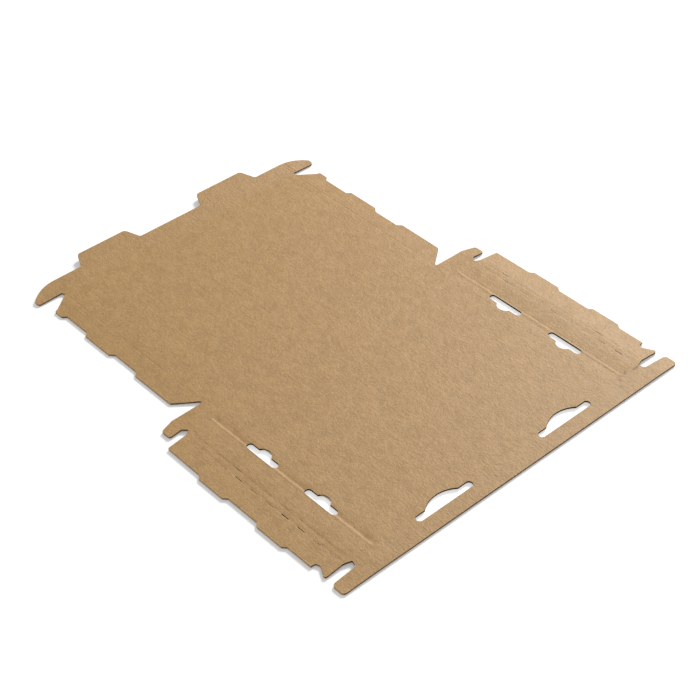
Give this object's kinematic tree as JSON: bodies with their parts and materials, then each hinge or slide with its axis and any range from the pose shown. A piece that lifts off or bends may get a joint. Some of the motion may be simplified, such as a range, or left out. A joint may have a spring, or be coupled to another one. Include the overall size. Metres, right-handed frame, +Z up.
{
  "type": "flattened mailing box blank",
  "caption": "Flat die-cut box in thin corrugated board with lid, side walls, tabs, teeth and slots, laid open.",
  "frame": {"origin": "middle of the blank's bounding box in plan, on the plane it lies on", "axes": "+Z up from the outer face to the inner face, +Y from the front edge towards the lid, +X to the right"},
  "size_m": [0.3716, 0.4426, 0.0059],
  "materials": {
    "kraft_board": "matt"
  },
  "bodies": {
    "root": {"mailing_box_blank": "kraft_board"}
  },
  "joints": []
}
